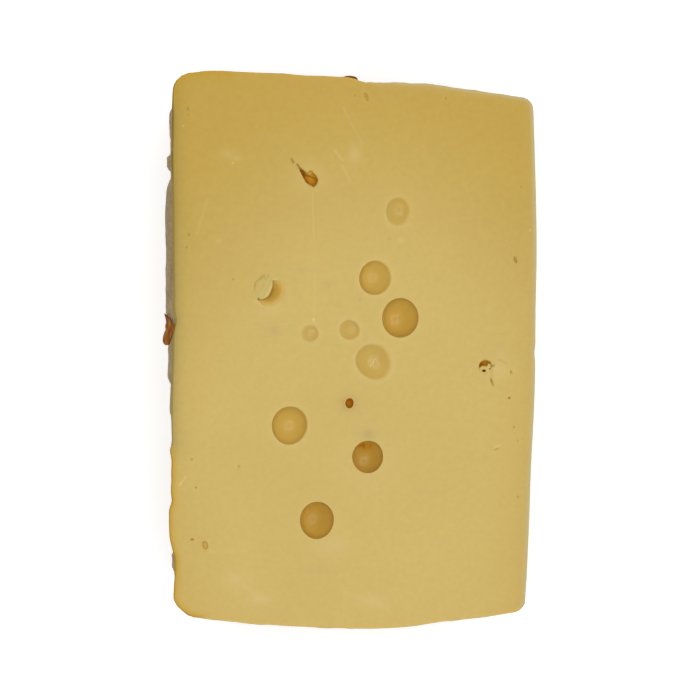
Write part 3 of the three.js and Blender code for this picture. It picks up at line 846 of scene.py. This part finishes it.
def add_node(tree, kind, inputs=(), **settings):
    """A shader node with its settings and its inputs."""
    node = tree.nodes.new(kind)
    for key, value in settings.items():
        setattr(node, key, value)
    wire(tree, node, inputs)
    return node


def mixed(tree, share, a, b, way="MIX"):
    """Two colours mixed by a share."""
    inputs = {0: share, 6: a, 7: b}
    return add_node(tree, "ShaderNodeMix", inputs, data_type="RGBA", blend_type=way).outputs[2]


def grain(tree, place, scale, detail=3.0, rough=0.55):
    """Noise on the piece's own coordinates."""
    inputs = {"Vector": place, "Scale": scale, "Detail": detail, "Roughness": rough}
    return add_node(tree, "ShaderNodeTexNoise", inputs).outputs["Fac"]


def relief(tree, height, strength):
    """The way the surface faces, tilted by a relief up to 0.3 mm deep."""
    inputs = {"Height": height, "Strength": strength, "Distance": 0.0003}
    return add_node(tree, "ShaderNodeBump", inputs).outputs["Normal"]


def ramp(tree, value, low, high, to_low=0.0, to_high=1.0):
    """A value carried smoothly from one range to another."""
    node = add_node(
        tree, "ShaderNodeMapRange", interpolation_type="SMOOTHSTEP",
        inputs={"Value": value, "From Min": low, "From Max": high, "To Min": to_low, "To Max": to_high},
    )
    return node.outputs["Result"]


def mark_of(tree, name):
    """One of the mesh's own marks."""
    return add_node(tree, "ShaderNodeAttribute", attribute_name=name).outputs["Fac"]


def sums(tree, operation, *values):
    """One sum of two or three numbers."""
    return add_node(tree, "ShaderNodeMath", operation=operation, inputs=dict(enumerate(values))).outputs[0]


def vectors(tree, operation, *values):
    """One sum of vectors: its result, which is a number for a length, a distance or a dot product."""
    node = add_node(tree, "ShaderNodeVectorMath", operation=operation, inputs=dict(enumerate(values)))
    return node.outputs[1 if operation in ("LENGTH", "DISTANCE", "DOT_PRODUCT") else 0]


def scaled(tree, vector, share):
    """A vector or a colour times a number."""
    inputs = {"Vector": vector, "Scale": share}
    return add_node(tree, "ShaderNodeVectorMath", operation="SCALE", inputs=inputs).outputs[0]


def stroke(tree, flat, start, end, wide):
    """A soft line on the face: one along the run between two points, nought from its half-width outwards."""
    run = Vector((*end, 0)) - Vector((*start, 0))
    off = vectors(tree, "SUBTRACT", flat, (*start, 0))
    along = vectors(tree, "DOT_PRODUCT", off, tuple(run.normalized()))
    share = add_node(tree, "ShaderNodeMapRange", {"Value": along, "From Max": run.length}).outputs["Result"]
    gap = vectors(tree, "DISTANCE", off, scaled(tree, tuple(run), share))
    return ramp(tree, gap, 0.1 * wide, wide, 1.0, 0.0)


def drawn(tree, flat, strokes):
    """The strongest of several strokes at each point."""
    share = 0.0
    for start, end, wide, strength in strokes:
        line = sums(tree, "MULTIPLY", stroke(tree, flat, start, end, wide), strength)
        share = sums(tree, "MAXIMUM", share, line)
    return share


STRAW = (0.575, 0.425, 0.135, 1)
GOLDEN = (0.50, 0.335, 0.068, 1)
PALE_PASTE = (0.66, 0.53, 0.235, 1)
DULL_PASTE = (0.86, 0.84, 1.02, 1)
DRY_PASTE = (0.52, 0.44, 0.23, 1)
AMBER = (0.48, 0.29, 0.015, 1)
EYE_WALL = (0.57, 0.365, 0.07, 1)
# The browns of a hole's walls: from and to which darkness of the hole each comes in, and its colour.
HOLE_BROWNS = (
    (0.0, 0.35, (0.56, 0.28, 0.018, 1)),
    (0.3, 0.65, (0.48, 0.155, 0.004, 1)),
    # The near-black last brown is painted shade, used mostly at the crumbled eye's deepest spot.
    (0.7, 1.0, (0.06, 0.035, 0.004, 1)),
)
RIND_GREY = (0.37, 0.275, 0.15, 1)
RIND_BROWN_AND_SHADE = (0.15, 0.09, 0.035, 1)
UMBER = (0.22, 0.15, 0.014, 1)
MARGIN_TINT = (0.60, 0.66, 0.72, 1)
CRYSTAL_GLINT = (0.98, 0.80, 0.52, 1)
# Painted shade: between these heights of the rind, in metres, it is painted from its grey towards brown, for
# the shade where it curves away low under the cut edge.
RIND_SHADE_TOP = 0.029
RIND_SHADE_FULL = 0.018
# Painted light: the face is painted paler round this middle, where the lamps light it most and give it most
# sheen, and a little more golden away from it, over these half-sizes.
PAINTED_LIGHT_MIDDLE = (3, -25)
PAINTED_LIGHT_REACH = (48, 66)
# Strokes on the face: from, to, half-width and strength.
KNIFE_LINES = (
    ((-7.45, 31.4), (-7.25, 22.0), 0.22, 0.28), ((-7.2, 24.0), (-7.0, 12.0), 0.5, 0.1),
    ((-7.0, 12.0), (-7.25, 6.2), 0.2, 0.2), ((-7.22, 6.2), (-7.3, 5.8), 0.35, 1.0),
    ((-20.9, 4.4), (-10.0, 5.6), 0.25, 0.12), ((-1.3, 48.4), (1.0, 43.8), 0.45, 0.14),
    ((1.0, 43.8), (2.5, 41.3), 0.4, 0.14), ((-3.1, 40.0), (-1.5, 37.9), 0.45, 0.25),
    ((-1.6, 37.0), (0.1, 33.6), 0.55, 0.2), ((14.3, 41.4), (16.5, 35.9), 0.6, 0.04),
    ((23.5, 32.9), (27.6, 19.6), 0.5, 0.04), ((30.9, 29.9), (30.9, 27.8), 0.35, 0.06),
    ((-21.4, -46.8), (-15.6, -49.9), 0.8, 0.14), ((-1.0, -48.6), (7.6, -51.7), 0.9, 0.14),
    ((-28.0, -39.9), (-20.6, -40.1), 0.6, 0.12), ((-28.3, 30.0), (-30.4, 23.0), 0.5, 0.12),
)
PALE_FLECKS_AND_HIGHLIGHTS = (
    ((-33.1, 44.4), (-33.0, 44.5), 0.3, 0.45), ((-33.75, -26.75), (-33.4, -26.3), 0.4, 0.6),
    ((-33.3, -26.2), (-32.6, -25.2), 0.28, 0.5), ((36.4, 24.2), (36.5, 24.3), 0.3, 0.5),
    ((-23.3, 37.1), (-23.2, 37.2), 0.25, 0.6),
    # Pale lines along the flap's edge and the crescent's lips: partly pale torn paste, partly painted
    # highlight where the edges catch the light.
    ((-15.3, 14.15), (-14.4, 14.05), 0.22, 0.6), ((-18.75, 9.9), (-17.2, 8.85), 0.28, 0.45),
    ((-15.6, 13.6), (-15.55, 12.7), 0.2, 0.5), ((-15.55, 12.7), (-16.0, 11.5), 0.2, 0.5),
    ((-16.0, 11.5), (-16.75, 10.6), 0.2, 0.5), ((-16.75, 10.6), (-17.8, 10.25), 0.2, 0.5),
)
# Brown strokes: stains, a scrape and dark dots, and painted thin shadows along the flap's torn edge and
# beside the crumbled eye.
BROWN_HAIRLINES_AND_SHADOWS = (
    ((-19.0, 12.5), (-18.9, 13.4), 0.22, 0.4), ((-18.78, 11.5), (-19.0, 12.5), 0.16, 0.25),
    ((-18.9, 13.4), (-17.9, 14.3), 0.2, 0.35), ((-17.8, 14.3), (-17.2, 14.8), 0.5, 0.3),
    ((-16.9, 14.2), (-16.7, 14.3), 0.25, 0.25), ((-16.35, 14.9), (-16.25, 14.8), 0.3, 0.25),
    ((29.88, -1.96), (30.86, -2.3), 0.4, 0.16), ((30.86, -2.3), (31.67, -2.75), 0.4, 0.14),
    ((28.83, 3.19), (31.67, 3.19), 0.16, 0.08), ((28.7, -4.2), (28.5, -6.4), 0.45, 0.15),
    ((-18.35, 9.98), (-18.2, 10.3), 0.24, 0.7), ((-0.4, -10.7), (-0.1, -10.7), 1.6, 0.13),
)
# White crystals on the floor of one eye, painted near white along short strokes: partly their own colour,
# partly painted glints.
CRYSTALS_AND_GLINTS = (
    ((4.05, -3.15), (4.57, -2.7), 0.13, 0.8), ((4.57, -2.7), (4.87, -1.85), 0.14, 0.85),
    ((4.87, -1.85), (5.27, -2.0), 0.11, 0.7), ((4.3, -2.0), (4.0, -2.25), 0.1, 0.6),
    ((4.6, -3.0), (4.72, -3.5), 0.09, 0.5), ((5.1, -2.55), (5.4, -2.9), 0.09, 0.4),
)


def cheese_finish():
    """Paste, eye walls, holes and rind in one shader, blended by the mesh's marks."""
    material, tree, shader = nodes_of("cheese_paste_and_rind")
    place = add_node(tree, "ShaderNodeTexCoord").outputs["Object"]
    flat = vectors(tree, "MULTIPLY_ADD", place, (1000, 1000, 0), (*box_middle, 0))
    cloud = ramp(tree, grain(tree, place, 30.0), 0.3, 0.7, 0.985, 1.015)
    fine = ramp(tree, grain(tree, place, 900.0), 0.3, 0.7, 0.98, 1.02)
    # Painted light: paler round the middle, where the lamps light the face most, and more golden away from
    # it.
    off = vectors(tree, "SUBTRACT", flat, (*PAINTED_LIGHT_MIDDLE, 0))
    away = vectors(tree, "LENGTH", vectors(tree, "MULTIPLY", off, (1 / PAINTED_LIGHT_REACH[0], 1 / PAINTED_LIGHT_REACH[1], 0)))
    warm = sums(tree, "MAXIMUM", ramp(tree, away, 0.55, 1.3), mark_of(tree, "warm"))
    colour = mixed(tree, warm, STRAW, GOLDEN)
    colour = scaled(tree, colour, sums(tree, "MULTIPLY", cloud, fine))
    colour = mixed(tree, mark_of(tree, "dull"), colour, DULL_PASTE, "MULTIPLY")
    colour = mixed(tree, mark_of(tree, "pale"), colour, PALE_PASTE)
    # Pale strokes and flecks, partly painted highlights along the flap's edge.
    colour = mixed(tree, drawn(tree, flat, KNIFE_LINES + PALE_FLECKS_AND_HIGHLIGHTS), colour, PALE_PASTE)
    colour = mixed(tree, mark_of(tree, "margin"), colour, MARGIN_TINT, "MULTIPLY")
    colour = mixed(tree, mark_of(tree, "dry"), colour, DRY_PASTE)
    colour = mixed(tree, mark_of(tree, "amber"), colour, AMBER)
    eye = mark_of(tree, "eye")
    hole = mark_of(tree, "hole")
    colour = mixed(tree, eye, colour, EYE_WALL)
    for low, high, brown in HOLE_BROWNS:
        colour = mixed(tree, ramp(tree, hole, low, high), colour, brown)
    # Brown strokes, partly painted thin shadows.
    colour = mixed(tree, drawn(tree, flat, BROWN_HAIRLINES_AND_SHADOWS), colour, UMBER)
    # Crystals, partly painted glints.
    colour = mixed(tree, sums(tree, "MULTIPLY", eye, drawn(tree, flat, CRYSTALS_AND_GLINTS)), colour, CRYSTAL_GLINT)
    colour = mixed(tree, mark_of(tree, "umber"), colour, UMBER)
    # Painted shade: the rind is painted browner lower down, on top of its own brown patches.
    low_shade = ramp(tree, vectors(tree, "DOT_PRODUCT", place, (0, 0, 1)), RIND_SHADE_TOP, RIND_SHADE_FULL, 0.0, 0.4)
    patchy_and_shaded = sums(tree, "ADD", ramp(tree, grain(tree, place, 170.0, 6.0, 0.7), 0.75, 0.25, 0.05, 0.55), low_shade)
    rind_tone = mixed(tree, sums(tree, "MINIMUM", patchy_and_shaded, 1.0), RIND_GREY, RIND_BROWN_AND_SHADE)
    speckle = ramp(tree, grain(tree, place, 1400.0, 3.0), 0.3, 0.7, 0.82, 1.18)
    rind_tone = scaled(tree, rind_tone, speckle)
    rind = mark_of(tree, "rind")
    colour = mixed(tree, rind, colour, rind_tone)
    dry = sums(tree, "MAXIMUM", rind, ramp(tree, hole, 0.13, 0.3))
    oily = sums(tree, "MULTIPLY", ramp(tree, eye, 0.0, 0.4), sums(tree, "SUBTRACT", 1.0, dry))
    smoothed = sums(tree, "MULTIPLY_ADD", oily, -0.12, ramp(tree, dry, 0.0, 1.0, 0.52, 0.85))
    height = sums(tree, "MULTIPLY_ADD", grain(tree, place, 900.0, 4.0), 0.4, grain(tree, place, 150.0, 2.0))
    wire(tree, shader, {
        "Base Color": colour, "Roughness": smoothed, "Normal": relief(tree, height, 0.15),
        "Coat Weight": sums(tree, "MULTIPLY", oily, 0.2), "Coat Roughness": 0.03, "Specular IOR Level": 0.1,
        "Subsurface Weight": 0.35, "Subsurface Radius": (1.0, 0.55, 0.2), "Subsurface Scale": 0.0025,
    })
    return material


slice_piece.data.materials.append(cheese_finish())

# ---------------------------------------------------------------------------
# Two shreds of dried rind: a curled one that clings to the rim beside its notch, and a small one on the
# upper side. Each is a thin, brittle, amber leaf that is thinnest at its own edge.
SHRED_THICK = 0.25
# The shreds' two tones: partly their own mottling, partly painted, the light one glints of light through the
# leaf, the dark one shade in its folds.
SHRED_DARK_AND_SHADE = (0.16, 0.03, 0.001, 1)
SHRED_LIGHT_AND_GLINT = (0.40, 0.15, 0.008, 1)
# Stations along each shred: the place along its side, its two edges across that, and the height of each.
RIM_SHRED = (
    (7.35, -37.25, -37.1, 30.6, 30.8), (6.9, -37.15, -36.35, 30.8, 32.0), (6.3, -36.95, -36.05, 31.0, 32.8),
    (5.6, -36.85, -35.6, 31.1, 34.4), (5.05, -37.0, -34.95, 30.9, 35.7), (4.7, -37.05, -34.75, 30.8, 36.0),
    (4.1, -36.9, -34.8, 31.1, 36.0), (3.4, -37.3, -35.05, 30.6, 35.7), (2.6, -37.55, -35.4, 30.4, 35.0),
    (1.8, -37.6, -35.65, 30.4, 34.4), (1.2, -37.3, -35.85, 30.8, 33.6), (0.95, -36.9, -36.3, 31.3, 32.5),
)
SIDE_SHRED = (
    (-1.3, 54.7, 54.95, 29.9, 29.6), (-0.7, 54.5, 55.1, 30.1, 29.5), (0.0, 54.35, 55.15, 30.1, 29.5),
    (0.6, 54.2, 55.05, 30.2, 29.5), (1.1, 54.05, 54.95, 30.2, 29.5), (1.4, 54.1, 54.7, 30.0, 29.6),
    (1.55, 54.2, 54.5, 29.8, 29.7),
)
SHRED_ROWS = 48
SHRED_COLUMNS = 13


def shred_grid(stations):
    """The shred's upper skin: it rises as the share across to the power 0.7, curled and rippled."""
    rows = np.asarray(stations, float)
    at = np.linspace(0, len(rows) - 1, SHRED_ROWS)
    drawn_out = [np.interp(at, np.arange(len(rows)), column)[:, None] for column in rows.T]
    run, first, second, first_level, second_level = drawn_out
    across = np.linspace(0, 1, SHRED_COLUMNS)
    width = np.abs(second - first)
    ends = smooth(0, 4, np.minimum(at, at[::-1]))[:, None]
    curl = 0.08 * width * (np.cos(2 * math.pi * across) - 0.5) * ends
    ripple = 0.07 * width * np.sin(1.9 * run + 2.2 * across)
    level = blend(first_level, second_level, across**0.7) + curl + ripple
    return blend(first, second, across), run + 0 * across, level


def shred_piece(name, x, y, level):
    """A closed leaf: its skin, and the skin again sunk by a thickness that falls to nought at the edge."""
    rows, columns = level.shape
    row = np.minimum(np.arange(rows), np.arange(rows)[::-1])[:, None]
    column = np.minimum(np.arange(columns), np.arange(columns)[::-1])
    inner = (row > 0) & (column > 0)
    thick = SHRED_THICK * smooth(0, 3, np.minimum(row, column) + 0.5)
    upper = np.arange(rows * columns).reshape(rows, columns)
    lower = upper.copy()
    lower[inner] = rows * columns + np.arange(inner.sum())
    skin = np.dstack([x, y, level])
    under = np.dstack([x, y, level - thick])[inner]
    over, beneath = [
        np.stack([g[:-1, :-1], g[:-1, 1:], g[1:, 1:], g[1:, :-1]], axis=-1).reshape(-1, 4)
        for g in (upper, lower)
    ]
    faces = np.vstack([beneath, over[:, ::-1]])
    vertices = np.vstack([skin.reshape(-1, 3), under]) - (*box_middle, 0)
    piece = make_piece(name, vertices, faces, np.zeros((0, 3), int))
    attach(piece, "root")
    return piece


def shred_finish():
    """Amber rind in two tones along its folds: partly its own mottling, partly painted, the light tone a
    horny glint of light through it and the dark one shade in the folds.
    """
    material, tree, shader = nodes_of("dried_rind")
    place = add_node(tree, "ShaderNodeTexCoord").outputs["Object"]
    folds = grain(tree, vectors(tree, "MULTIPLY", place, (1.0, 0.35, 0.6)), 900.0, 4.0)
    wire(tree, shader, {
        "Base Color": mixed(tree, ramp(tree, folds, 0.35, 0.65), SHRED_DARK_AND_SHADE, SHRED_LIGHT_AND_GLINT),
        "Roughness": 0.35, "Specular IOR Level": 0.01, "Normal": relief(tree, folds, 0.4),
    })
    return material


rim_x, rim_run, rim_level = shred_grid(RIM_SHRED)
side_run, side_x, side_level = shred_grid(SIDE_SHRED)
rim_shred = shred_piece("rim_shred", rim_x, rim_run, rim_level)
side_shred = shred_piece("side_shred", side_x, side_run, side_level)
shred_skin = shred_finish()
rim_shred.data.materials.append(shred_skin)
side_shred.data.materials.append(shred_skin)

# ---------------------------------------------------------------------------
# The floor: a plain white sheet that the slice lies on.
FLOOR_HALF = 3.0
floor_mesh = bpy.data.meshes.new("floor")
floor_mesh.from_pydata([(-FLOOR_HALF, -FLOOR_HALF, 0), (FLOOR_HALF, -FLOOR_HALF, 0),
                        (FLOOR_HALF, FLOOR_HALF, 0), (-FLOOR_HALF, FLOOR_HALF, 0)], [], [(0, 1, 2, 3)])
floor = bpy.data.objects.new("floor", floor_mesh)
bpy.context.scene.collection.objects.link(floor)
floor_finish, floor_tree, floor_shader = nodes_of("floor_white")
wire(floor_tree, floor_shader, {
    "Base Color": (0.94, 0.94, 0.94, 1), "Roughness": 0.9,
    "Emission Color": (1, 1, 1, 1), "Emission Strength": 0.35,
})
floor_mesh.materials.append(floor_finish)

# ---------------------------------------------------------------------------
# The light: a square frame of soft panels round the camera, and an even white surround.
LAMP_HEIGHT = 0.62
LAMP_SHIFT = (0.08, 0.01)
FRAME_OUTER = LAMP_HEIGHT * math.tan(math.radians(27.5))
FRAME_INNER = LAMP_HEIGHT * math.tan(math.radians(14))
LAMP_RADIANCE = 4.15
SURROUND = 0.32


def lamp_panel(name, x, y, size_x, size_y):
    """One soft panel of the frame, whose power follows from its area so that all glow alike."""
    light = bpy.data.lights.new(name, "AREA")
    light.shape = "RECTANGLE"
    light.size = size_x
    light.size_y = size_y
    light.energy = LAMP_RADIANCE * math.pi * size_x * size_y
    lamp = bpy.data.objects.new(name, light)
    lamp.location = (x, y, LAMP_HEIGHT)
    lamp.visible_camera = False
    bpy.context.scene.collection.objects.link(lamp)


camera_x, camera_y = -box_middle * MM
lamp_x, lamp_y = camera_x + LAMP_SHIFT[0], camera_y + LAMP_SHIFT[1]
band = FRAME_OUTER - FRAME_INNER
out = (FRAME_OUTER + FRAME_INNER) / 2
lamp_panel("lamp_upper", lamp_x, lamp_y + out, 2 * FRAME_OUTER, band)
lamp_panel("lamp_lower", lamp_x, lamp_y - out, 2 * FRAME_OUTER, band)
lamp_panel("lamp_left", lamp_x - out, lamp_y, band, 2 * FRAME_INNER)
lamp_panel("lamp_right", lamp_x + out, lamp_y, band, 2 * FRAME_INNER)

world = bpy.data.worlds.new("white_surround")
world.use_nodes = True
backdrop = world.node_tree.nodes["Background"]
wire(world.node_tree, backdrop, {"Color": (1, 1, 1, 1), "Strength": SURROUND})
bpy.context.scene.world = world
bpy.context.scene.view_settings.view_transform = "Standard"

# ---------------------------------------------------------------------------
# The camera looks straight down from 45 cm.
CAMERA_HEIGHT = 0.45
FOCAL_LENGTH = 107.6
camera_data = bpy.data.cameras.new("camera")
camera_data.sensor_width = 36.0
camera_data.lens = FOCAL_LENGTH
camera_data.clip_start = 0.01
camera = bpy.data.objects.new("camera", camera_data)
camera.location = (camera_x, camera_y, CAMERA_HEIGHT)
bpy.context.scene.collection.objects.link(camera)
bpy.context.scene.camera = camera
